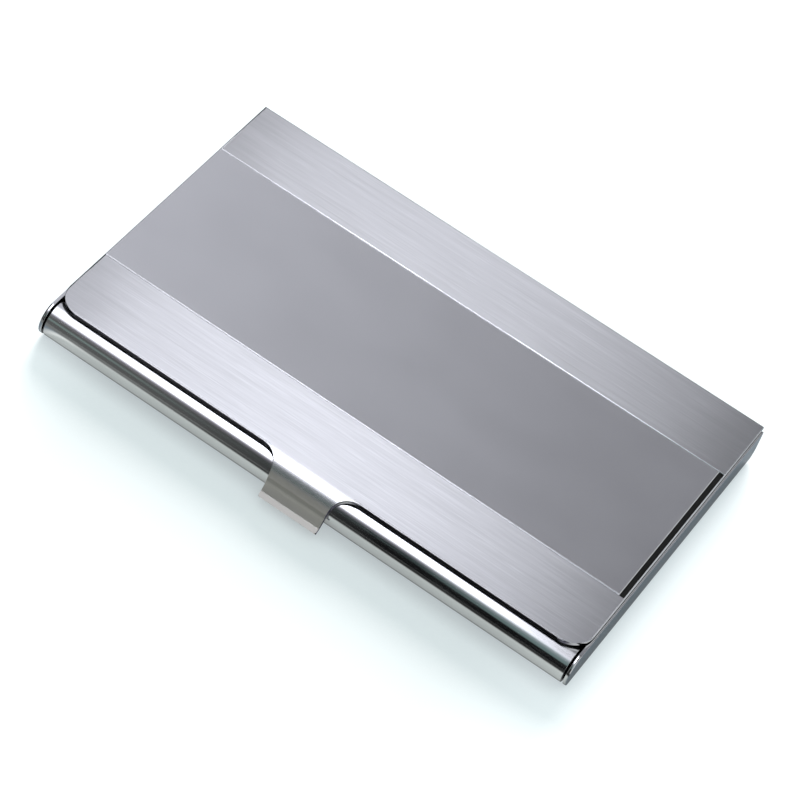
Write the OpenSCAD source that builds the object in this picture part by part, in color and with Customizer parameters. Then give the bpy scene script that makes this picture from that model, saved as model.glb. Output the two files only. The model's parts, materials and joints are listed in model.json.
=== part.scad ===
// Hinged pocket case for business cards, made of thin stainless steel sheet.
// Millimetres, +Z up. The origin is at the middle of the footprint, on the
// surface that the case lies on. The long side runs along X, the thumb tab is
// at the front (-Y) and the hinge is at the rear (+Y).

/* [Body] */
// Length over the side walls
case_w = 93.6; // [85:0.1:110]
// Depth from the lid's rear edge to the front of the rolled edge
case_d = 57.5; // [50:0.1:75]
// Height with the lid closed
case_h = 7.0; // [7:0.1:10]
// Thickness of the tray's sheet
sheet_t = 0.5; // [0.4:0.05:0.6]
// Outer radius of the tray's bend along its lower rear edge
rear_bend_r = 2.5; // [2:0.1:3]
// Outer radius of the bends along the tray's lower side edges
side_bend_r = 0.6; // [0.5:0.05:0.8]
// Space between each end of the rolled edge and the side wall beside it
roll_end_gap = 0.4; // [0.3:0.05:0.8]
// Angle that the rolled edge goes on past its highest point
curl_over = 20; // [5:1:30]

/* [Lid] */
// Thickness of the lid's sheet
lid_t = 0.6; // [0.5:0.05:0.7]
// Space between the tray's rim and the lid
lid_gap = 0.4; // [0.3:0.05:0.5]
// Distance of the lid's side edges from the tray's outer faces
lid_side_inset = 0.3; // [0.2:0.05:0.5]
// Distance of the lid's straight front edge from the front of the roll
lid_setback = 2.5; // [2:0.1:3]
// Radius of the lid's two front corners
lid_corner_r = 4.0; // [2:0.1:6]

/* [Thumb tab] */
// Width of the tab
tab_w = 10.2; // [8:0.1:20]
// Radius of the fillets where the tab leaves the lid's front edge
tab_root_r = 3.4; // [2:0.1:5]
// Space between the front of the roll and the circle of the tab's bend
tab_clear = 0.15; // [0.1:0.05:0.3]
// Angle from upright at which the tab's face leaves the bend
face_lean = 14; // [10:1:20]
// Radius of the outward curve of the tab's face
face_r = 5.7; // [4:0.1:8]
// Angle from upright at the foot of the face
face_end = 36; // [25:1:45]
// Radius of the crease between the face and the lip
crease_r = 0.2; // [0.1:0.05:0.4]
// Angle of the lip from upright
lip_angle = 55; // [46:1:65]
// Straight length of the lip
lip_run = 0.9; // [0.6:0.05:1.1]
// Radius of the lip's two free corners
lip_corner_r = 0.4; // [0.3:0.1:0.6]

/* [Inlaid stripe] */
// Width of the stripe across the middle of the lid
stripe_w = 30; // [15:0.5:40]
// Thickness of the inlaid plate
plate_t = 0.2; // [0.15:0.01:0.25]
// Thickness of the adhesive film under the plate
film_t = 0.06; // [0.05:0.01:0.1]
// How far the plate's face lies below the brushed bands
plate_drop = 0.02; // [0.01:0.01:0.05]
// Width of the steel rim left at the recess's closed end
recess_rim = 0.2; // [0.15:0.05:0.5]
// Space between the plate's end and that rim
plate_end_gap = 0.75; // [0.3:0.05:1.5]

/* [Hinge] */
// Radius of the hinge pins
pin_r = 0.6; // [0.5:0.05:0.6]
// Radial clearance of a bracket's ear on its pin
pin_clear = 0.05; // [0.02:0.01:0.08]
// Height of the hinge axis
hinge_z = 3.0; // [2.9:0.05:3.1]
// Distance of the hinge axis from the tray's rear face
hinge_back = 1.4; // [1.35:0.01:1.42]
// Radius of the ear around its pin
ear_r = 1.3; // [1.2:0.05:1.3]
// Thickness of the bracket's sheet
bracket_t = 0.4; // [0.3:0.05:0.4]
// Space between the ear and the side wall
ear_gap = 0.2; // [0.1:0.05:0.25]
// Length of the bracket's foot under the lid, along the hinge axis
foot_len = 5.0; // [3:0.1:8]
// Radius of the pin's inner head
pin_head_r = 1.0; // [0.9:0.05:1.1]
// Thickness of the pin's inner head
pin_head_t = 0.3; // [0.2:0.05:0.3]

/* [Spring] */
// Thickness of the friction spring's sheet
spring_t = 0.3; // [0.2:0.05:0.3]
// Depth of the spring's flat strip
spring_d = 6.0; // [5:0.1:8]
// Width of the spring's two end fingers
finger_w = 1.2; // [0.8:0.1:1.3]
// Distance of each rivet from the middle of the case
rivet_x = 36; // [20:1:40]
// Radius of the rivets' shanks
rivet_r = 0.8; // [0.6:0.05:1]
// Radius of the rivets' heads
rivet_head_r = 1.5; // [1.3:0.1:1.8]
// Height of the rivets' heads
rivet_head_t = 0.25; // [0.2:0.05:0.3]

/* [Hidden] */

$fn = 96;
// Largest angle between two neighbouring points of the lid's bent outline
arc_step = 3.75;
// Overlap used where a cut must pass through a face
cut = 1;
// How far the tray's rear face stands inside the lid's rear edge
tray_rear_inset = 0.1;
// Length of the floor's stretch that is drawn with the roll
roll_foot = 1;
// Space between an ear and its pin's head
head_gap = 0.1;
// Space between a pin's head and the end of the rear wall
notch_gap = 0.3;

// Lid's underside, tray's rim and the roll between them and the floor
lid_under_z = case_h - lid_t;
rim_z = lid_under_z - lid_gap;
roll_r = rim_z / 2;

// Bend that carries the lid's sheet over the roll and down
tab_bend_r = roll_r + tab_clear + lid_t;
tab_bend_z = case_h - tab_bend_r;
// Centre of the face's curve, forwards of the roll's middle and above the floor
face_fwd = (tab_bend_r + face_r) * cos(face_lean);
face_z = tab_bend_z + (tab_bend_r + face_r) * sin(face_lean);
// Centre of the crease, measured in the same way
crease_fwd = face_fwd - (face_r - crease_r) * cos(face_end);
crease_z = face_z - (face_r - crease_r) * sin(face_end);
// How far the lip reaches forwards of the roll's middle, and the whole footprint
lip_fwd = crease_fwd - crease_r * cos(lip_angle) + lip_run * sin(lip_angle);
foot_d = case_d - roll_r + lip_fwd;

// Places along Y, from the rear to the front
lid_rear_y = foot_d / 2;
tray_rear_y = lid_rear_y - tray_rear_inset;
hinge_y = tray_rear_y - hinge_back;
roll_front_y = lid_rear_y - case_d;
roll_y = roll_front_y + roll_r;
lid_front_y = roll_front_y + lid_setback;
lip_y = -foot_d / 2;
stripe_y = (lid_front_y + lid_rear_y) / 2;

// Places along X
wall_in_x = case_w / 2 - sheet_t;
lid_w = case_w - 2 * lid_side_inset;
ear_out_x = wall_in_x - ear_gap;
ear_in_x = ear_out_x - bracket_t;
pin_head_x = ear_in_x - head_gap;
rear_wall_x = pin_head_x - pin_head_t - notch_gap;
recess_end_x = lid_w / 2 - recess_rim;
plate_end_x = recess_end_x - plate_end_gap;

// Recess for the film and the plate
recess_depth = film_t + plate_t + plate_drop;
film_z = case_h - recess_depth;
plate_z = film_z + film_t;

// Floor of the two notches that the ears swing through, which stops the lid
notch_z = 1.1;
// Bracket's foot: its front and rear edges, measured forwards from the hinge
foot_front = 5.5;
foot_rear = 1.8;
// Spring: its strip's rear edge and its fingers' tips, forwards of the hinge,
// and the space left between a finger's tip and the height of the ear's rim
strip_rear = 3.2;
finger_tip = 0.3;
finger_gap = 0.05;
strip_y = hinge_y - strip_rear - spring_d;
rivet_y = strip_y + spring_d / 2;

steel = [0.78, 0.78, 0.80];
brushed = [0.72, 0.72, 0.74];
satin = [0.62, 0.62, 0.65];
dull = [0.60, 0.60, 0.62];
film_black = [0.08, 0.08, 0.08];

// Extrudes a Y-Z outline along X, from x0 to x1
module along_x(x0, x1)
    translate([x0, 0, 0])
        rotate([90, 0, 90])
            linear_extrude(x1 - x0)
                children();

// Extrudes an X-Z outline along the whole of Y
module along_y()
    rotate([90, 0, 0])
        translate([0, 0, -foot_d])
            linear_extrude(2 * foot_d)
                children();

// Ring between two radii, kept from angle a0 to a1, at most half a turn
module arc_band(r_in, r_out, a0, a1) {
    steps = 4;
    far = 2 * r_out;
    intersection() {
        difference() {
            circle(r_out);
            circle(r_in);
        }
        polygon(concat(
            [[0, 0]],
            [
                for (i = [0:steps])
                    let (a = a0 + (a1 - a0) * i / steps)
                        far * [cos(a), sin(a)]
            ]
        ));
    }
}

// Tray -----------------------------------------------------------------

// Rolled front edge, from the floor's front edge round and over the top, with
// the stretch of floor that it grows out of
module roll_section()
    translate([roll_y, roll_r]) {
        arc_band(roll_r - sheet_t, roll_r, 90, 270);
        arc_band(roll_r - sheet_t, roll_r, 90 - curl_over, 90);
        translate([0, -roll_r])
            square([roll_foot, sheet_t]);
    }

// Floor, the bend at its rear and the rear wall
module floor_section() {
    translate([roll_y, 0])
        square([tray_rear_y - rear_bend_r - roll_y, sheet_t]);
    translate([tray_rear_y - rear_bend_r, rear_bend_r])
        arc_band(rear_bend_r - sheet_t, rear_bend_r, 270, 360);
    translate([tray_rear_y - sheet_t, rear_bend_r])
        square([sheet_t, rim_z - rear_bend_r]);
}

// Outline of a side wall: round in front like the roll, and bent behind
module wall_outline() {
    translate([roll_y, roll_r])
        circle(roll_r);
    translate([roll_y, 0])
        square([tray_rear_y - rear_bend_r - roll_y, rim_z]);
    translate([roll_y, rear_bend_r])
        square([tray_rear_y - roll_y, rim_z - rear_bend_r]);
    translate([tray_rear_y - rear_bend_r, rear_bend_r])
        circle(rear_bend_r);
}

// Section across the tray, with its lower side edges bent
module tray_envelope() {
    for (side = [-1, 1])
        translate([side * (case_w / 2 - side_bend_r), side_bend_r])
            circle(side_bend_r);
    translate([side_bend_r - case_w / 2, 0])
        square([case_w - 2 * side_bend_r, case_h]);
    translate([-case_w / 2, side_bend_r])
        square([case_w, case_h]);
}

// Hole along X for a hinge pin, through one side wall
module pin_hole(side)
    translate([side * case_w / 2, hinge_y, hinge_z])
        rotate([0, 90, 0])
            cylinder(r = pin_r, h = 2 * (sheet_t + cut), center = true);

// Notch in the rear wall, between a side wall and the wall's shortened end
module ear_notch(side)
    translate([
        side > 0 ? rear_wall_x : -wall_in_x,
        hinge_y - hinge_back,
        notch_z
    ])
        cube([wall_in_x - rear_wall_x, 2 * hinge_back + cut, case_h]);

module tray()
    color(steel)
        difference() {
            intersection() {
                union() {
                    along_x(roll_end_gap - wall_in_x, wall_in_x - roll_end_gap)
                        roll_section();
                    along_x(-case_w / 2, case_w / 2)
                        floor_section();
                    along_x(-case_w / 2, -wall_in_x)
                        wall_outline();
                    along_x(wall_in_x, case_w / 2)
                        wall_outline();
                }
                along_y()
                    tray_envelope();
            }
            for (side = [-1, 1]) {
                pin_hole(side);
                ear_notch(side);
                translate([side * rivet_x, rivet_y, -cut])
                    cylinder(r = rivet_r, h = sheet_t + 2 * cut);
            }
        }

// Lid ------------------------------------------------------------------

// Points along an arc from angle a0 to a1; skip = 1 leaves the first one out,
// where the stretch before has already put it
function arc_points(centre, r, a0, a1, skip = 0) =
    let (steps = ceil(abs(a1 - a0) / arc_step))
        [
            for (i = [skip:steps])
                let (a = a0 + (a1 - a0) * i / steps)
                    centre + r * [cos(a), sin(a)]
        ];

// Section of the lid's sheet: flat top, bend over the roll, the tab's face,
// which curves outwards as it comes down, and the lip. The outline goes down
// the outside of the sheet and back up its inside.
module lid_section() {
    bend = [roll_y, tab_bend_z];
    face = [roll_y - face_fwd, face_z];
    crease = [roll_y - crease_fwd, crease_z];
    across_lip = [cos(lip_angle), -sin(lip_angle)];
    along_lip = [-sin(lip_angle), -cos(lip_angle)];
    polygon(concat(
        [[lid_rear_y, lid_under_z], [lid_rear_y, case_h]],
        arc_points(bend, tab_bend_r, 90, 180 - face_lean),
        arc_points(face, face_r, -face_lean, -face_end, 1),
        arc_points(crease, crease_r, -face_end, -lip_angle, 1),
        [
            crease + crease_r * across_lip + lip_run * along_lip,
            crease + (crease_r + lid_t) * across_lip + lip_run * along_lip
        ],
        arc_points(crease, crease_r + lid_t, -lip_angle, -face_end),
        arc_points(face, face_r + lid_t, -face_end, -face_lean, 1),
        arc_points(bend, tab_bend_r - lid_t, 180 - face_lean, 90, 1)
    ));
}

// Plan of the lid's sheet, with its front corners and the tab's fillets
module lid_plan() {
    body_w = lid_w - 2 * lid_corner_r;
    translate([-body_w / 2, lid_front_y])
        square([body_w, lid_rear_y - lid_front_y]);
    translate([-lid_w / 2, lid_front_y + lid_corner_r])
        square([lid_w, lid_rear_y - lid_front_y - lid_corner_r]);
    for (side = [-1, 1])
        translate([side * body_w / 2, lid_front_y + lid_corner_r])
            circle(lid_corner_r);
    translate([-tab_w / 2, lip_y + lip_corner_r])
        square([tab_w, lid_front_y - lip_y]);
    translate([lip_corner_r - tab_w / 2, lip_y])
        square([tab_w - 2 * lip_corner_r, lip_corner_r + cut]);
    for (side = [-1, 1]) {
        translate([side * (tab_w / 2 - lip_corner_r), lip_y + lip_corner_r])
            circle(lip_corner_r);
        translate([side * tab_w / 2, lid_front_y])
            scale([side, 1])
                root_fillet();
    }
}

// Fillet between the lid's front edge and the tab's side
module root_fillet()
    difference() {
        translate([0, -tab_root_r])
            square(tab_root_r);
        translate([tab_root_r, -tab_root_r])
            circle(tab_root_r);
    }

module lid_plate()
    color(brushed)
        difference() {
            intersection() {
                along_x(-lid_w / 2, lid_w / 2)
                    lid_section();
                linear_extrude(case_h + cut)
                    lid_plan();
            }
            translate([-lid_w / 2 - cut, stripe_y - stripe_w / 2, film_z])
                cube([lid_w / 2 + cut + recess_end_x, stripe_w, case_h]);
        }

// A layer in the recess, from the lid's left edge to end_x
module stripe_layer(z, t, end_x)
    translate([-lid_w / 2, stripe_y - stripe_w / 2, z])
        cube([lid_w / 2 + end_x, stripe_w, t]);

module inlay_film()
    color(film_black)
        stripe_layer(film_z, film_t, recess_end_x);

module inlay_plate()
    color(satin)
        stripe_layer(plate_z, plate_t, plate_end_x);

// Hinge ----------------------------------------------------------------

// Outline of an ear, from the round end at the pin to the lid's underside
module ear_outline()
    translate([hinge_y, hinge_z]) {
        circle(ear_r);
        polygon([
            [-ear_r, 0],
            [ear_r, 0],
            [ear_r, lid_under_z - hinge_z],
            [-foot_front, lid_under_z - hinge_z]
        ]);
    }

// Right-hand bracket: an ear beside the wall and a foot under the lid
module hinge_bracket()
    color(dull)
        difference() {
            union() {
                along_x(ear_in_x, ear_out_x)
                    ear_outline();
                translate([
                    ear_out_x - foot_len,
                    hinge_y - foot_front,
                    lid_under_z - bracket_t
                ])
                    cube([foot_len, foot_front - foot_rear, bracket_t]);
            }
            translate([ear_in_x - cut, hinge_y, hinge_z])
                rotate([0, 90, 0])
                    cylinder(r = pin_r + pin_clear, h = bracket_t + 2 * cut);
        }

module hinge_bracket_right() hinge_bracket();

module hinge_bracket_left() mirror([1, 0, 0]) hinge_bracket();

// Right-hand pin: flush with the wall outside, with a head inside the ear
module hinge_pin()
    color(dull)
        translate([0, hinge_y, hinge_z])
            rotate([0, 90, 0]) {
                translate([0, 0, pin_head_x])
                    cylinder(r = pin_r, h = case_w / 2 - pin_head_x);
                translate([0, 0, pin_head_x - pin_head_t])
                    cylinder(r = pin_head_r, h = pin_head_t);
            }

module hinge_pin_right() hinge_pin();

module hinge_pin_left() mirror([1, 0, 0]) hinge_pin();

// Spring ---------------------------------------------------------------

// Section of a finger, which slopes up from the strip to the ear's rim
module finger_section() {
    tip_z = hinge_z - ear_r - finger_gap;
    tip_y = hinge_y - finger_tip;
    root_y = hinge_y - strip_rear;
    polygon([
        [root_y - spring_t, sheet_t],
        [root_y, sheet_t],
        [tip_y, tip_z - spring_t],
        [tip_y, tip_z],
        [root_y, sheet_t + spring_t],
        [root_y - spring_t, sheet_t + spring_t]
    ]);
}

module friction_spring()
    color(dull)
        difference() {
            union() {
                translate([-ear_out_x, strip_y, sheet_t])
                    cube([2 * ear_out_x, spring_d, spring_t]);
                for (x = [-ear_out_x, ear_out_x - finger_w])
                    along_x(x, x + finger_w)
                        finger_section();
            }
            for (side = [-1, 1])
                translate([side * rivet_x, rivet_y, 0])
                    cylinder(r = rivet_r, h = case_h);
        }

// Rivet, flush under the tray's floor, with a low head on the spring
module spring_rivet(side)
    color(dull)
        translate([side * rivet_x, rivet_y, 0]) {
            cylinder(r = rivet_r, h = sheet_t + spring_t);
            translate([0, 0, sheet_t + spring_t])
                cylinder(r = rivet_head_r, h = rivet_head_t);
        }

module spring_rivet_left() spring_rivet(-1);

module spring_rivet_right() spring_rivet(1);

tray();
lid_plate();
inlay_film();
inlay_plate();
hinge_bracket_left();
hinge_bracket_right();
hinge_pin_left();
hinge_pin_right();
friction_spring();
spring_rivet_left();
spring_rivet_right();
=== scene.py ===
"""Looks for a steel business card case: finishes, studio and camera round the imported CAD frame.

Everything is in metres, in the frame's own axes: +X along the case, +Y towards the hinge, +Z up.
"""

import json
import math

import bmesh
import bpy
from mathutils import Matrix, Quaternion, Vector

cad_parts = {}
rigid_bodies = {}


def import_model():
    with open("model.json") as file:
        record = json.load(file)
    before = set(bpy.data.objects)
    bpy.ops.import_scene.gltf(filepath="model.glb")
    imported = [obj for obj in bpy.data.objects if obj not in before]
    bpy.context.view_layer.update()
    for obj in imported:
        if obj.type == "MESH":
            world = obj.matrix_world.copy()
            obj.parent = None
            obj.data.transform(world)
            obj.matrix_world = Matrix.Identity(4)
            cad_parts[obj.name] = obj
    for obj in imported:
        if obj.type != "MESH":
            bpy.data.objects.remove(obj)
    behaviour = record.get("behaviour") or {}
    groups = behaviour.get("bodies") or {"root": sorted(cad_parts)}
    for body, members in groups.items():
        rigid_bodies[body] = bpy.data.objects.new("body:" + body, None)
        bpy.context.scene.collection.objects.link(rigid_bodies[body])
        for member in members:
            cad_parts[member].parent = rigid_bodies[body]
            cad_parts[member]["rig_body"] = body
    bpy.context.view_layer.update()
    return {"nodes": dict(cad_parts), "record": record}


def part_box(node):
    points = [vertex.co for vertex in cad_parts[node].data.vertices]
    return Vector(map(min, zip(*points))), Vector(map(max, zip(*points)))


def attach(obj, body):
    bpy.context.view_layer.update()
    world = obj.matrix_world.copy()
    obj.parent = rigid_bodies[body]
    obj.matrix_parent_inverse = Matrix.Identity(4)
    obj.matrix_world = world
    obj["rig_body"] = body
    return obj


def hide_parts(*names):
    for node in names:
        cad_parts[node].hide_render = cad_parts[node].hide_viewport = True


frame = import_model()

MM = 0.001

# Camera: it looks at a point on the lid's face, and is rolled about its own axis
CAMERA_LENS = 146.4
CAMERA_SENSOR = 36.0
CAMERA_TARGET = Vector((2.12, -4.86, 7.0)) * MM
CAMERA_DISTANCE = 477.7 * MM
CAMERA_AZIMUTH = math.radians(18.73)
CAMERA_ELEVATION = math.radians(48.97)
CAMERA_ROLL = math.radians(19.06)
CAMERA_CLIP = (10 * MM, 20.0)

# Edges: how far each sharp edge is broken, and the angles that count as an edge and as flat
SHEET_BREAK = 0.07 * MM
FINE_BREAK = 0.04 * MM
BREAK_SEGMENTS = 3
EDGE_ANGLE = math.radians(32)
FLAT_ANGLE = math.radians(0.5)
SAME_POINT = 0.0001 * MM

# The wider round on the lid's upper edges, each edge's share of it, and the least lean of a wall
LID_ROUND = 0.50 * MM
ROUND_SEGMENTS = 6
LEFT_SHARE = 0.6
RIGHT_SHARE = 0.2
FRONT_SHARE = 0.0
REAR_SHARE = 0.4
TAB_SHARE = 0.3
LIP_SHARE = 0.0
RECESS_SHARE = 0.29
RIM_SHARE = 0.15
LEAST_LEAN = 0.01

# Telling the lid's edges apart: how far up a face looks to count as outer, how far sideways to count as a
# side of the tab, the room round a measured place, and where the round fades out, in height and in depth
SHOW_FACE = 0.2
STRAIGHT_SIDE = 0.99
TAB_CLEAR = 0.3 * MM
TAB_FADE = (2.0 * MM, 5.0 * MM)
CORNER_FADE = (0.3 * MM, 3.5 * MM)


def roll():
    """Y of the tray's rolled front edge: its front, and the middle of the roll."""
    low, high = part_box("tray")
    return low[1], low[1] + (high[2] - low[2]) / 2


# Node trees -------------------------------------------------------------------

# A Mix node's sockets by number, because its number and colour sockets share their names
MIX_FACTOR = 0
MIX_NUMBER_A, MIX_NUMBER_B, MIX_NUMBER = 2, 3, 0
MIX_COLOUR_A, MIX_COLOUR_B, MIX_COLOUR = 6, 7, 2


class Tree:
    """Short calls that add nodes to one node tree."""

    def __init__(self, owner):
        owner.use_nodes = True
        self.nodes = owner.node_tree.nodes
        self.links = owner.node_tree.links
        self.nodes.clear()

    def add(self, kind, inputs=None, **settings):
        """A node of that kind; inputs maps a socket's name or number to a value or another socket."""
        node = self.nodes.new(kind)
        for name, value in settings.items():
            setattr(node, name, value)
        for name, value in (inputs or {}).items():
            socket = node.inputs[name]
            if isinstance(value, bpy.types.NodeSocket):
                self.links.new(value, socket)
            else:
                socket.default_value = value
        return node

    def math(self, operation, a, b=0.0):
        """The result of that operation on one or two numbers."""
        return self.add("ShaderNodeMath", {0: a, 1: b}, operation=operation).outputs[0]

    def remap(self, value, low, high, to_low, to_high, smooth=False):
        """to_low up to low and to_high past high, and between them in between."""
        kind = "SMOOTHSTEP" if smooth else "LINEAR"
        inputs = {"Value": value, "From Min": low, "From Max": high, "To Min": to_low, "To Max": to_high}
        return self.add("ShaderNodeMapRange", inputs, interpolation_type=kind).outputs["Result"]

    def band(self, value, low, high, soft):
        """1 between low and high, falling smoothly to 0 over soft outside them."""
        rise = self.remap(value, low - soft, low, 0.0, 1.0, smooth=True)
        fall = self.remap(value, high, high + soft, 1.0, 0.0, smooth=True)
        return self.math("MULTIPLY", rise, fall)

    def mix(self, factor, a, b):
        """Colour a at factor 0 and colour b at factor 1."""
        inputs = {MIX_FACTOR: factor, MIX_COLOUR_A: a, MIX_COLOUR_B: b}
        return self.add("ShaderNodeMix", inputs, data_type="RGBA").outputs[MIX_COLOUR]

    def blend(self, factor, a, b):
        """Number a at factor 0 and number b at factor 1."""
        inputs = {MIX_FACTOR: factor, MIX_NUMBER_A: a, MIX_NUMBER_B: b}
        return self.add("ShaderNodeMix", inputs, data_type="FLOAT").outputs[MIX_NUMBER]

    def coordinates(self, kind="Object"):
        """The X, Y and Z of the object's own coordinates, or of its Normal."""
        vector = self.add("ShaderNodeTexCoord").outputs[kind]
        return self.add("ShaderNodeSeparateXYZ", {0: vector}).outputs

    def place(self, feature):
        """Object coordinates divided by the size of a feature, in metres along X, Y and Z."""
        vector = self.add("ShaderNodeTexCoord").outputs["Object"]
        scale = [1.0 / size for size in feature]
        return self.add("ShaderNodeMapping", {"Vector": vector, "Scale": scale}).outputs["Vector"]

    def front_of(self, there, here):
        """0 behind here and 1 in front of there, both in roll radii forwards from the roll's middle."""
        roll_front, roll_middle = roll()
        radius = roll_middle - roll_front
        front, back = roll_middle - there * radius, roll_middle - here * radius
        return self.remap(self.coordinates()["Y"], front, back, 1.0, 0.0, smooth=True)

    def noise(self, feature, detail, rough=0.5, offset=0.0):
        """Noise from 0 to 1 with features of that size along X, Y and Z; another offset, another pattern."""
        vector = self.place(feature)
        inputs = {"Vector": vector, "W": offset, "Scale": 1.0, "Detail": detail, "Roughness": rough}
        node = self.add("ShaderNodeTexNoise", inputs, noise_dimensions="4D")
        return node.outputs["Fac"]

    def edge_mask(self, radius, gain):
        """0 on a flat face and up to 1 within radius of an edge."""
        rounded = self.add("ShaderNodeBevel", {"Radius": radius}, samples=4).outputs["Normal"]
        plain = self.add("ShaderNodeNewGeometry").outputs["Normal"]
        product = self.add("ShaderNodeVectorMath", {0: rounded, 1: plain}, operation="DOT_PRODUCT")
        lean = self.math("SUBTRACT", 1.0, product.outputs["Value"])
        return self.remap(lean, 0.0, 1.0 / gain, 0.0, 1.0)

    def bump(self, height, distance, strength):
        """The surface's normal, tilted as if the height from 0 to 1 rose by that distance."""
        inputs = {"Height": height, "Distance": distance, "Strength": strength}
        return self.add("ShaderNodeBump", inputs).outputs["Normal"]


def grey(value, tint=(1.0, 1.0, 1.0)):
    """A grey of that value, with its red, green and blue scaled by the tint."""
    return (value * tint[0], value * tint[1], value * tint[2], 1.0)


# Materials --------------------------------------------------------------------

# Tints of steel, and the near-black painted shade and dark reflection on its cut edges
COOL = (0.985, 0.99, 1.0)
# Painted warm reflection: the warm tint used on the tab
PAINTED_WARM_REFLECTION = (1.0, 0.965, 0.90)
CUT_EDGE_PAINTED_SHADE = (0.07, 0.062, 0.11, 1.0)

# Noise around its middle: most of it lies between these two
NOISE_LOW = 0.3
NOISE_HIGH = 0.7


def new_material(name):
    """A new material and its empty tree."""
    material = bpy.data.materials.new(name)
    return material, Tree(material)


def surface(tree, inputs):
    """Joins a shader with those inputs to the material's output."""
    shader = tree.add("ShaderNodeBsdfPrincipled", inputs)
    tree.add("ShaderNodeOutputMaterial", {"Surface": shader.outputs[0]})


def mottled(tree, noise, dark, light, low=NOISE_LOW, high=NOISE_HIGH):
    """A colour that goes from dark to light with the noise."""
    return tree.mix(tree.remap(noise, low, high, 0.0, 1.0), dark, light)


def brushed_steel():
    """Brushed along X on the flat faces, with polished rounded edges and a satin tab, and painted shade and
    reflection: darker lid ends and rear band, near-black cut edges, and a warm tint and darker strip on the
    tab.
    """
    material, tree = new_material("brushed_steel")
    fine = tree.noise((11 * MM, 0.14 * MM, 0.14 * MM), detail=3.0, rough=0.65)
    coarse = tree.noise((30 * MM, 0.70 * MM, 0.70 * MM), detail=2.0, offset=3.0)
    hair = tree.noise((6 * MM, 0.12 * MM, 0.12 * MM), detail=2.0, offset=11.0)
    cloud = tree.noise((16 * MM, 8 * MM, 8 * MM), detail=4.0, offset=7.0)
    fine_share = 0.65
    streak = tree.blend(fine_share, coarse, fine)
    scratch = tree.remap(hair, 0.60, 0.74, 0.0, 0.5)

    normals = tree.coordinates("Normal")
    up = normals["Z"]
    bend = tree.front_of(0.55, 0.0)
    face = tree.front_of(1.1, 0.9)
    brushed = brushed_faces(tree, up, bend)

    steel = mottled(tree, streak, grey(0.51, COOL), grey(0.71, COOL), 0.32, 0.68)
    steel = tree.mix(scratch, steel, grey(0.86, COOL))
    # Painted shade: the lid darkens towards both ends
    steel = tree.mix(painted_shade_lid_ends(tree, cloud), steel, grey(0.30, COOL))
    # Painted shade: the rear band darker than the front one
    steel = tree.mix(painted_shade_lid_rear(tree), steel, grey(0.28, (1.0, 0.99, 0.97)))
    steel = tree.mix(brushed, grey(0.78, COOL), steel)
    # Painted warm reflection: the tab's smoother face tinted warm
    steel = tree.mix(face, steel, grey(0.74, PAINTED_WARM_REFLECTION))
    # Painted shade and dark reflection: a darker warm strip where the tab hangs nearly upright
    painted_shade_upright = tree.math("MULTIPLY", tree.band(up, 0.05, 0.22, 0.18), bend)
    steel = tree.mix(painted_shade_upright, steel, grey(0.28, PAINTED_WARM_REFLECTION))
    # Painted shade and dark reflection: the cut edges near-black
    steel = tree.mix(painted_shade_cut_edges(tree, up, normals["X"], bend), steel, CUT_EDGE_PAINTED_SHADE)

    rough = tree.remap(streak, NOISE_LOW, NOISE_HIGH, 0.34, 0.28)
    rough = tree.math("ADD", rough, tree.remap(cloud, NOISE_LOW, NOISE_HIGH, -0.02, 0.02))
    polish = tree.math("ADD", tree.remap(bend, 0.0, 1.0, 0.10, 0.24), tree.remap(face, 0.0, 1.0, 0.0, 0.18))
    surface(tree, {
        "Base Color": steel,
        "Metallic": 1.0,
        "Roughness": tree.blend(brushed, polish, rough),
        "Anisotropic": brushed,
        "Anisotropic Rotation": 0.25,
        "Normal": tree.bump(fine, 0.002 * MM, tree.math("MULTIPLY", brushed, 0.5)),
        "Tangent": along_x(tree),
    })
    return material


def brushed_faces(tree, up, bend):
    """1 on the lid's level faces, and on nearly level ones in line with the tab; 0 from its bend on."""
    level = tree.math("ABSOLUTE", up)
    by_tab = tree.remap(tree.math("ABSOLUTE", tree.coordinates()["X"]), 7 * MM, 9 * MM, 1.0, 0.0)
    by_tab = tree.math("MULTIPLY", by_tab, tree.remap(level, 0.85, 0.95, 0.0, 1.0))
    flat = tree.math("MAXIMUM", tree.remap(level, 0.991, 0.999, 0.0, 1.0), by_tab)
    return tree.math("MULTIPLY", flat, tree.math("SUBTRACT", 1.0, bend))


def painted_shade_cut_edges(tree, up, across, bend):
    """Painted shade and dark reflection: 1 on the lid's front and rear cut edges and on the tab's sides, and
    0 at the inlaid plate.
    """
    plate_low, plate_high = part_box("inlay_plate")
    along = tree.coordinates()["Y"]
    at_plate = tree.band(along, plate_low[1] - 1 * MM, plate_high[1] + 1 * MM, 1 * MM)
    sideways = tree.math("ABSOLUTE", across)
    steep = tree.remap(tree.math("ABSOLUTE", up), 0.60, 0.80, 1.0, 0.0)
    on_lid = tree.math("MULTIPLY", steep, tree.remap(sideways, 0.3, 0.6, 1.0, 0.0))
    on_tab = tree.remap(sideways, 0.75, 0.9, 0.0, 1.0)
    cut = tree.blend(bend, on_lid, on_tab)
    return tree.math("MULTIPLY", cut, tree.math("SUBTRACT", 1.0, at_plate))


def painted_shade_lid_ends(tree, cloud):
    """Painted shade: 0.5 at both ends of the lid, fading unevenly to 0 towards its middle."""
    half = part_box("lid_plate")[1][0]
    out = tree.math("DIVIDE", tree.math("ABSOLUTE", tree.coordinates()["X"]), half)
    uneven = tree.math("ADD", out, tree.remap(cloud, NOISE_LOW, NOISE_HIGH, -0.08, 0.08))
    return tree.remap(uneven, 0.70, 1.06, 0.0, 0.5, smooth=True)


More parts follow.
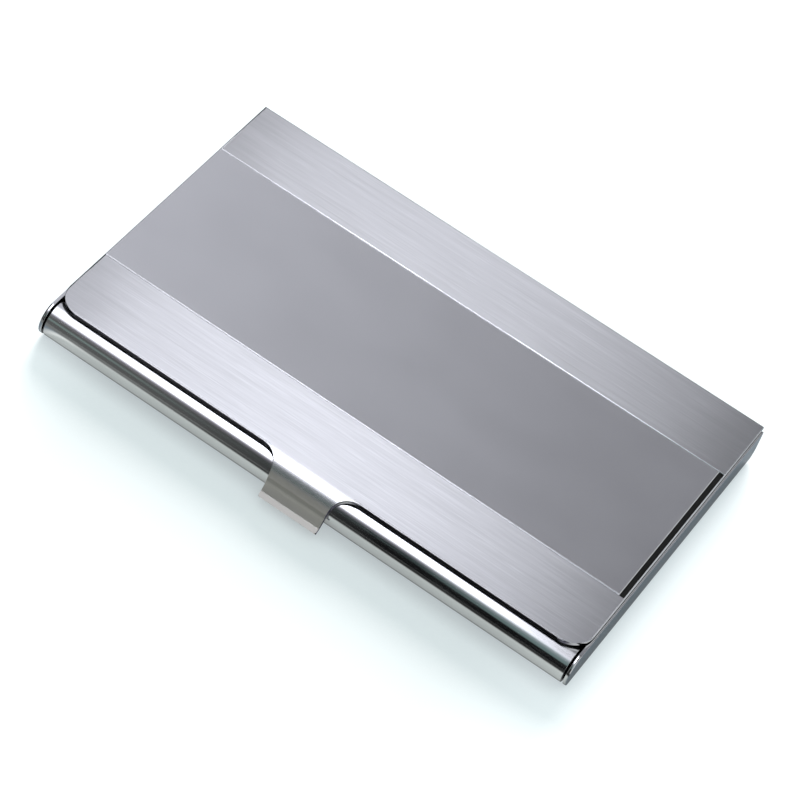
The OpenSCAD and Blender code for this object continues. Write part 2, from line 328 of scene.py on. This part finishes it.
def painted_shade_lid_rear(tree):
    """Painted shade: 0.25 on the rear band, fading to 0 on the front one."""
    return tree.remap(tree.coordinates()["Y"], -12 * MM, 17 * MM, 0.0, 0.25, smooth=True)


def along_x(tree):
    """The object's own X direction, for the grain."""
    turned = {"vector_type": "VECTOR", "convert_from": "OBJECT", "convert_to": "WORLD"}
    node = tree.add("ShaderNodeVectorTransform", {"Vector": (1.0, 0.0, 0.0)}, **turned)
    return node.outputs["Vector"]


def satin_steel():
    """Smooth rolled face with faint clouds, and a few specks of dust."""
    material, tree = new_material("satin_steel")
    cloud = tree.noise((16 * MM, 9 * MM, 9 * MM), detail=3.0)
    grain = tree.noise((0.9 * MM, 0.25 * MM, 0.25 * MM), detail=3.0, offset=2.0)
    edge = tree.edge_mask(0.12 * MM, 2.5)
    steel = mottled(tree, cloud, grey(0.63, COOL), grey(0.67, COOL))
    steel = tree.mix(edge, steel, grey(0.88, COOL))
    steel = tree.mix(specks(tree), steel, grey(0.16))
    rough = tree.remap(tree.math("ADD", cloud, grain), 0.7, 1.3, 0.17, 0.22)
    surface(tree, {
        "Base Color": steel,
        "Metallic": 1.0,
        "Roughness": tree.math("SUBTRACT", rough, tree.math("MULTIPLY", edge, 0.08)),
        "Normal": tree.bump(grain, 0.0006 * MM, 0.3),
    })
    return material


def specks(tree):
    """1 inside a few tiny round specks, and 0 elsewhere."""
    vector = tree.place((9 * MM, 9 * MM, 9 * MM))
    cells = tree.add("ShaderNodeTexVoronoi", {"Vector": vector, "Scale": 1.0}).outputs
    inside = tree.remap(cells["Distance"], 0.012, 0.018, 1.0, 0.0)
    draw = tree.add("ShaderNodeSeparateColor", {0: cells["Color"]}).outputs[0]
    return tree.math("MULTIPLY", inside, tree.math("GREATER_THAN", draw, 0.7))


def polished_steel():
    """Bright sheet with a trace of rolling grain and hairline scratches."""
    material, tree = new_material("polished_steel")
    cloud = tree.noise((11 * MM, 7 * MM, 7 * MM), detail=3.0)
    hair = tree.noise((7 * MM, 0.16 * MM, 0.16 * MM), detail=3.0, rough=0.65, offset=4.0)
    edge = tree.edge_mask(0.12 * MM, 2.5)
    steel = mottled(tree, cloud, grey(0.60, COOL), grey(0.66, COOL))
    rough = tree.remap(cloud, NOISE_LOW, NOISE_HIGH, 0.09, 0.14)
    surface(tree, {
        "Base Color": tree.mix(edge, steel, grey(0.80, COOL)),
        "Metallic": 1.0,
        "Roughness": tree.math("ADD", rough, tree.remap(hair, 0.55, 0.75, 0.0, 0.08)),
        "Normal": tree.bump(hair, 0.0008 * MM, 0.3),
    })
    return material


def mill_steel():
    """Stamped and turned small parts: mottled, with rubbed edges."""
    material, tree = new_material("mill_steel")
    mottle = tree.noise((0.8 * MM, 0.8 * MM, 0.8 * MM), detail=4.0, rough=0.6)
    edge = tree.edge_mask(0.1 * MM, 2.0)
    steel = mottled(tree, mottle, grey(0.48, COOL), grey(0.60, COOL))
    surface(tree, {
        "Base Color": tree.mix(edge, steel, grey(0.78, COOL)),
        "Metallic": 1.0,
        "Roughness": tree.remap(mottle, NOISE_LOW, NOISE_HIGH, 0.26, 0.40),
        "Normal": tree.bump(mottle, 0.004 * MM, 0.4),
    })
    return material


def spring_steel():
    """Cold-rolled strip: darker, with rolling lines along X."""
    material, tree = new_material("spring_steel")
    lines = tree.noise((14 * MM, 0.2 * MM, 0.2 * MM), detail=3.0)
    stain = tree.noise((6 * MM, 3 * MM, 3 * MM), detail=3.0, offset=5.0)
    edge = tree.edge_mask(0.1 * MM, 2.0)
    steel = mottled(tree, stain, grey(0.36, (0.98, 0.98, 1.0)), grey(0.48, COOL))
    surface(tree, {
        "Base Color": tree.mix(edge, steel, grey(0.72, COOL)),
        "Metallic": 1.0,
        "Roughness": tree.remap(lines, NOISE_LOW, NOISE_HIGH, 0.22, 0.34),
        "Normal": tree.bump(lines, 0.003 * MM, 0.3),
    })
    return material


def black_film():
    """Adhesive film: matt black, slightly uneven."""
    material, tree = new_material("black_film")
    dimple = tree.noise((0.5 * MM, 0.5 * MM, 0.5 * MM), detail=3.0)
    surface(tree, {
        "Base Color": mottled(tree, dimple, grey(0.005), grey(0.012)),
        "Roughness": tree.remap(dimple, NOISE_LOW, NOISE_HIGH, 0.55, 0.75),
        "Specular IOR Level": 0.12,
        "Normal": tree.bump(dimple, 0.01 * MM, 0.5),
    })
    return material


# Pieces -----------------------------------------------------------------------


def refined(node, edge_break, material, shape=None):
    """A CAD node's own shape with its flat faces whole and every sharp edge broken by a small round."""
    source = frame["nodes"][node]
    mesh = bmesh.new()
    mesh.from_mesh(source.data)
    bmesh.ops.remove_doubles(mesh, verts=mesh.verts, dist=SAME_POINT)
    bmesh.ops.dissolve_limit(mesh, angle_limit=FLAT_ANGLE, verts=mesh.verts, edges=mesh.edges)
    if shape:
        shape(mesh)
    for face in mesh.faces:
        face.smooth = True
    data = bpy.data.meshes.new(node + "_finished")
    mesh.to_mesh(data)
    mesh.free()
    piece = bpy.data.objects.new(node + "_finished", data)
    bpy.context.scene.collection.objects.link(piece)
    if shape:
        rounding = piece.modifiers.new("rounding", "BEVEL")
        rounding.limit_method = "WEIGHT"
        rounding.width = LID_ROUND
        rounding.segments = ROUND_SEGMENTS
        rounding.use_clamp_overlap = False
    bevel = piece.modifiers.new("edge_break", "BEVEL")
    bevel.limit_method = "ANGLE"
    bevel.angle_limit = EDGE_ANGLE
    bevel.width = edge_break
    bevel.segments = BREAK_SEGMENTS
    weighted = piece.modifiers.new("flat_faces", "WEIGHTED_NORMAL")
    weighted.mode = "FACE_AREA"
    weighted.weight = 100
    weighted.keep_sharp = True
    data.materials.append(material)
    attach(piece, source["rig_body"])
    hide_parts(node)
    return piece


def round_lid(mesh):
    """Marks how far the lid's upper edges round over, as shares of LID_ROUND: none beside narrow strips."""
    film_low, film_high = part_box("inlay_film")
    recess_floor, recess_end = film_low[2], film_high[0]
    roll_front, roll_middle = roll()
    share = mesh.edges.layers.float.new("bevel_weight_edge")
    for edge in mesh.edges:
        if len(edge.link_faces) != 2 or edge.calc_face_angle() < EDGE_ANGLE:
            continue
        upper, lower = sorted(edge.link_faces, key=lambda face: face.normal.z, reverse=True)
        if upper.normal.z < SHOW_FACE:
            continue
        middle = (edge.verts[0].co + edge.verts[1].co) / 2
        lowest = min(vertex.co.z for vertex in lower.verts)
        on_tab = middle.y < roll_middle - 2 * TAB_CLEAR
        if middle.y < roll_front - TAB_CLEAR:
            edge[share] = LIP_SHARE
        elif on_tab and abs(lower.normal.x) > STRAIGHT_SIDE:
            edge[share] = faded(middle.z, TAB_FADE, LIP_SHARE, TAB_SHARE)
        elif middle.y < roll_middle + TAB_CLEAR:
            edge[share] = FRONT_SHARE
        elif middle.z < recess_floor + FINE_BREAK:
            continue
        elif lowest > recess_floor - FINE_BREAK:
            edge[share] = RIM_SHARE if middle.x > recess_end - FINE_BREAK else RECESS_SHARE
        else:
            behind = middle.y - roll_middle
            edge[share] = faded(behind, CORNER_FADE, FRONT_SHARE, outline_share(lower.normal))


def faded(value, limits, low, high):
    """low up to the first limit and high past the second, and evenly between them."""
    part = (value - limits[0]) / (limits[1] - limits[0])
    return low + (high - low) * min(max(part, 0.0), 1.0)


def outline_share(normal):
    """Share of LID_ROUND on the lid's ends and rear, from the way that the wall faces."""
    left = max(-normal.x, 0.0)
    right = max(normal.x, 0.0)
    front = max(-normal.y, 0.0)
    rear = max(normal.y, 0.0)
    total = left * LEFT_SHARE + right * RIGHT_SHARE + front * FRONT_SHARE + rear * REAR_SHARE
    return total / max(left + right + front + rear, LEAST_LEAN)


def round_inlay(mesh):
    """Marks the plate's upper edges, which lie in the recess, to be rounded."""
    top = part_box("inlay_plate")[1][2]
    share = mesh.edges.layers.float.new("bevel_weight_edge")
    for edge in mesh.edges:
        if all(abs(vertex.co.z - top) < FINE_BREAK for vertex in edge.verts):
            edge[share] = RECESS_SHARE


# Stage, light and camera ------------------------------------------------------


FLOOR_HALF = 1.5
FLOOR_DROP = 0.02 * MM
FLOOR_GLOW = (0.90, 0.98, 1.03, 1.0)


def floor_material():
    """Matt, pale and partly self-lit. Mirrors see it dimmer by the case, and nearly black away from it."""
    material, tree = new_material("pale_floor")
    low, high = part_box("tray")
    place = tree.coordinates()
    sideways = tree.math("ABSOLUTE", place["X"])
    forwards = tree.math("SUBTRACT", low[1], place["Y"])
    cloud = tree.noise((40 * MM, 40 * MM, 40 * MM), detail=3.0)
    pale = mottled(tree, cloud, grey(0.48), grey(0.50))

    # What mirrors see: the floor under the case, in front of it, beside it and far off
    under = tree.remap(forwards, -1.0 * MM, 0.1 * MM, 1.0, 0.0)
    beside = tree.remap(sideways, high[0] - 1 * MM, high[0] + 1 * MM, 0.0, 1.0)
    near = tree.remap(forwards, 6 * MM, 17 * MM, 1.0, 0.0, smooth=True)
    far = tree.remap(place["X"], -45 * MM, -10 * MM, 0.13, 0.02, smooth=True)
    far = tree.add("ShaderNodeCombineColor", {0: far, 1: far, 2: far}).outputs[0]
    mirrored = tree.mix(under, grey(0.66), grey(0.20))
    mirrored = tree.mix(beside, mirrored, grey(0.18, (0.82, 0.95, 1.10)))
    mirrored = tree.mix(near, far, mirrored)
    in_mirror = tree.add("ShaderNodeLightPath").outputs["Is Glossy Ray"]

    # Its own light: less where the case stands close, and more past the case's ends
    openness = tree.add("ShaderNodeAmbientOcclusion", {"Distance": 3 * MM}, samples=8).outputs["AO"]
    ends = tree.remap(sideways, 30 * MM, 54 * MM, 0.0, 0.13, smooth=True)
    surface(tree, {
        "Base Color": tree.mix(in_mirror, pale, mirrored),
        "Roughness": 1.0,
        "Specular IOR Level": 0.0,
        "Emission Color": tree.mix(in_mirror, FLOOR_GLOW, mirrored),
        "Emission Strength": tree.math("ADD", tree.remap(openness, 0.5, 1.0, 0.40, 0.50), ends),
    })
    return material


def make_floor():
    """A wide level square, just under the case."""
    mesh = bmesh.new()
    corners = [(-1, -1), (1, -1), (1, 1), (-1, 1)]
    mesh.faces.new([mesh.verts.new((x * FLOOR_HALF, y * FLOOR_HALF, -FLOOR_DROP)) for x, y in corners])
    data = bpy.data.meshes.new("floor")
    mesh.to_mesh(data)
    mesh.free()
    floor = bpy.data.objects.new("floor", data)
    bpy.context.scene.collection.objects.link(floor)
    data.materials.append(floor_material())


NIGHT = (0.006, 0.0065, 0.007)
AMBIENT = (0.52, 0.62, 0.59, 1.0)
WHITE = (1.0, 1.0, 1.0, 1.0)

# Light panels, each with its angle about the long axis, its place along X, its strength and its colour. The
# angle is in degrees from straight up towards the front, and the place is the X of a direction of length 1.
# Both are given as low, high and the width of the soft edge outside them.
PANELS = (
    # White roof, which the rolled edge mirrors along its whole length, and its brighter middle
    ((-14, 22, 16), (-0.36, -0.145, 0.035), 1.62, (0.97, 0.98, 1.06)),
    ((-10, 16, 12), (-0.255, -0.195, 0.055), 4.0, (0.96, 0.98, 1.08)),
    # Grey steps below the roof, and the dim glow at the front left
    ((22, 38, 12), (-0.40, -0.02, 0.04), 0.17, (1.0, 0.94, 1.10)),
    ((28, 56, 9), (-0.150, 0.0, 0.03), 0.30, (0.70, 1.0, 0.99)),
    ((45, 88, 12), (-0.40, -0.27, 0.06), 0.14, (0.97, 1.0, 0.99)),
    ((61, 66, 5), (-0.40, -0.29, 0.02), 0.22, (0.60, 0.98, 0.90)),
    # Broad light on the right, which the rounded rims mirror, and views from other sides
    ((-120, 120, 20), (0.10, 0.80, 0.15), 0.90, (0.96, 0.98, 1.0)),
    # Grey light far out on the left, which views from the right mirror
    ((-120, 120, 20), (-1.20, -0.90, 0.06), 0.45, (0.96, 0.98, 1.0)),
)

# Grey sky behind the case, which the flat lid mirrors: its angles as above, and along X where it starts on
# the left and where it has faded out on the right
SKY_ANGLES = (-50, -26, 14)
SKY_START = (-0.56, -0.44)
SKY_FADE = (-0.40, 0.02)
SKY_STRENGTH = 0.95
SKY_COLOUR = (0.955, 0.965, 1.06)

# Key lamp: a sun at the rear left, given by the direction from the case to the lamp
KEY_DIRECTION = Vector((-0.45, 1.4, 0.72))
KEY_ENERGY = 5.2
KEY_ANGLE = math.radians(30)
KEY_COLOUR = (1.0, 0.97, 0.96)


def make_studio():
    """Soft panels round the case for mirrors, an even light for matt surfaces, and white for the camera."""
    world = bpy.data.worlds.new("studio")
    bpy.context.scene.world = world
    tree = Tree(world)
    direction = tree.add("ShaderNodeTexCoord").outputs["Generated"]
    parts = tree.add("ShaderNodeSeparateXYZ", {0: direction}).outputs
    turn = tree.math("ARCTAN2", tree.math("MULTIPLY", parts["Y"], -1.0), parts["Z"])
    angle = tree.math("MULTIPLY", turn, 180.0 / math.pi)
    side = parts["X"]

    def scaled(colour, level):
        return tree.add("ShaderNodeVectorMath", {0: colour, "Scale": level}, operation="SCALE").outputs[0]

    def plus(colour, light):
        return tree.add("ShaderNodeVectorMath", {0: colour, 1: light}, operation="ADD").outputs[0]

    mirrored = NIGHT
    for angles, places, strength, colour in PANELS:
        shape = tree.math("MULTIPLY", tree.band(angle, *angles), tree.band(side, *places))
        mirrored = plus(mirrored, scaled(colour, tree.math("MULTIPLY", shape, strength)))
    sky = tree.remap(side, *SKY_FADE, SKY_STRENGTH, 0.0)
    sky = tree.math("MULTIPLY", tree.band(angle, *SKY_ANGLES), sky)
    sky = tree.math("MULTIPLY", sky, tree.remap(side, *SKY_START, 0.0, 1.0, smooth=True))
    mirrored = plus(mirrored, scaled(SKY_COLOUR, sky))

    path = tree.add("ShaderNodeLightPath").outputs
    colour = tree.mix(path["Is Diffuse Ray"], mirrored, AMBIENT)
    colour = tree.mix(path["Is Camera Ray"], colour, WHITE)
    background = tree.add("ShaderNodeBackground", {"Color": colour, "Strength": 1.0})
    tree.add("ShaderNodeOutputWorld", {"Surface": background.outputs[0]})
    world.cycles.sampling_method = "NONE"


def make_key():
    """A broad lamp at the rear left, which lays the soft shadow in front of the case and isn't mirrored."""
    lamp = bpy.data.lights.new("key", "SUN")
    lamp.energy = KEY_ENERGY
    lamp.angle = KEY_ANGLE
    lamp.color = KEY_COLOUR
    key = bpy.data.objects.new("key", lamp)
    bpy.context.scene.collection.objects.link(key)
    key.visible_glossy = False
    key.rotation_mode = "QUATERNION"
    key.rotation_quaternion = KEY_DIRECTION.to_track_quat("Z", "Y")


def make_camera():
    """The camera, at the photograph's angle."""
    lens = bpy.data.cameras.new("camera")
    lens.lens = CAMERA_LENS
    lens.sensor_width = CAMERA_SENSOR
    lens.clip_start, lens.clip_end = CAMERA_CLIP
    camera = bpy.data.objects.new("camera", lens)
    bpy.context.scene.collection.objects.link(camera)
    flat = math.cos(CAMERA_ELEVATION)
    back = Vector((
        math.sin(CAMERA_AZIMUTH) * flat,
        -math.cos(CAMERA_AZIMUTH) * flat,
        math.sin(CAMERA_ELEVATION),
    ))
    camera.location = CAMERA_TARGET + back * CAMERA_DISTANCE
    camera.rotation_mode = "QUATERNION"
    level = back.to_track_quat("Z", "Y")
    camera.rotation_quaternion = level @ Quaternion((0.0, 0.0, 1.0), CAMERA_ROLL)
    bpy.context.scene.camera = camera


# Build ------------------------------------------------------------------------

FINISHES = {
    "polished_steel": polished_steel,
    "brushed_steel": brushed_steel,
    "satin_steel": satin_steel,
    "mill_steel": mill_steel,
    "spring_steel": spring_steel,
    "black_film": black_film,
}
FINE_NODES = ("inlay_film", "inlay_plate", "hinge_pin_left", "hinge_pin_right")
SHAPES = {"lid_plate": round_lid, "inlay_plate": round_inlay}

materials = {name: make() for name, make in FINISHES.items()}
for part in frame["record"]["subparts"]:
    name = part["node"]
    slot = part["material_slot"]
    edge_break = FINE_BREAK if name in FINE_NODES else SHEET_BREAK
    piece = refined(name, edge_break, materials[slot], SHAPES.get(name))

bpy.context.scene.view_settings.view_transform = "Standard"
make_floor()
make_studio()
make_key()
make_camera()
